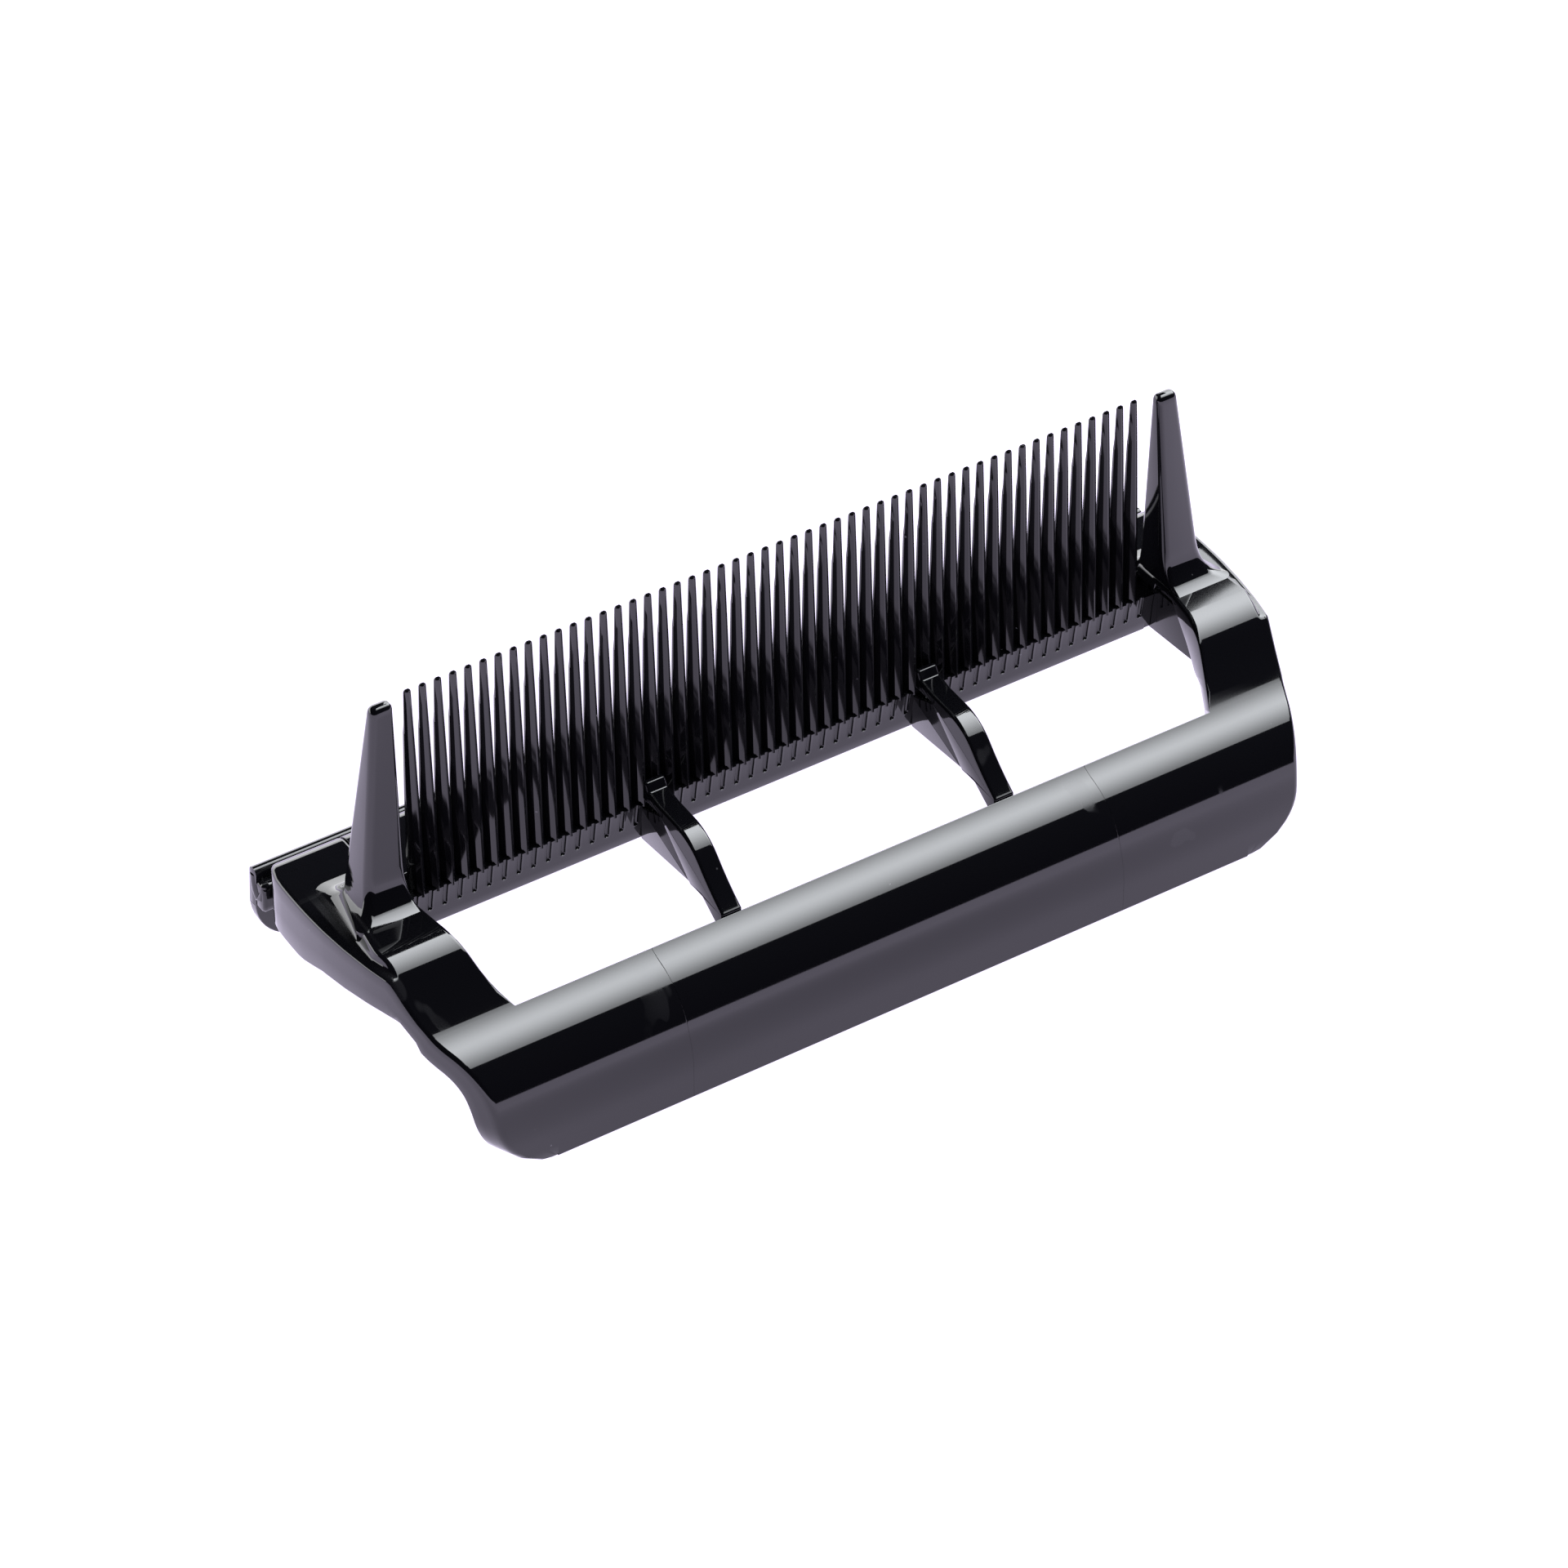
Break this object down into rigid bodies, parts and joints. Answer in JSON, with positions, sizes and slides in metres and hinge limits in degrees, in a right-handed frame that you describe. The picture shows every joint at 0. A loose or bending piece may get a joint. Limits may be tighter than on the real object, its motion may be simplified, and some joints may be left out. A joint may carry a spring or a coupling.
{
  "type": "hair clipper comb guide",
  "caption": "Clip-on comb guide for a hair clipper: a row of fine upright teeth between two guard tines, on an open S-shaped frame with a grip bar and a rear hook rail.",
  "frame": {"origin": "middle of the underside of the whole part, at the height of the foot of the grip bar", "axes": "+X along the row of teeth, -Y towards the grip bar, +Z the way the teeth point"},
  "size_m": [0.1016, 0.0364, 0.04],
  "materials": {
    "comb_plastic": "polished black moulded plastic, fine teeth",
    "frame_plastic": "mirror gloss black moulded plastic with a few fine marks",
    "web_plastic": "gloss black moulded plastic",
    "hook_plastic": "gloss black moulded plastic"
  },
  "bodies": {
    "frame": {"comb_strip": "comb_plastic", "rear_deck": "frame_plastic", "grip_bar": "frame_plastic", "left_end_frame": "frame_plastic", "left_end_gusset": "web_plastic", "left_strut": "frame_plastic", "left_strut_web": "web_plastic", "right_end_frame": "frame_plastic", "right_end_gusset": "web_plastic", "right_strut": "frame_plastic", "right_strut_web": "web_plastic"},
    "hook": {"hook_rail": "hook_plastic"}
  },
  "joints": [
    {"name": "hook_flex", "type": "hinge", "parent": "frame", "child": "hook", "pos_m": [0, 0.0144, 0.01375], "axis": [1, 0, 0], "range_deg": [0, 6], "stiffness_Nm_per_rad": 0.5}
  ]
}
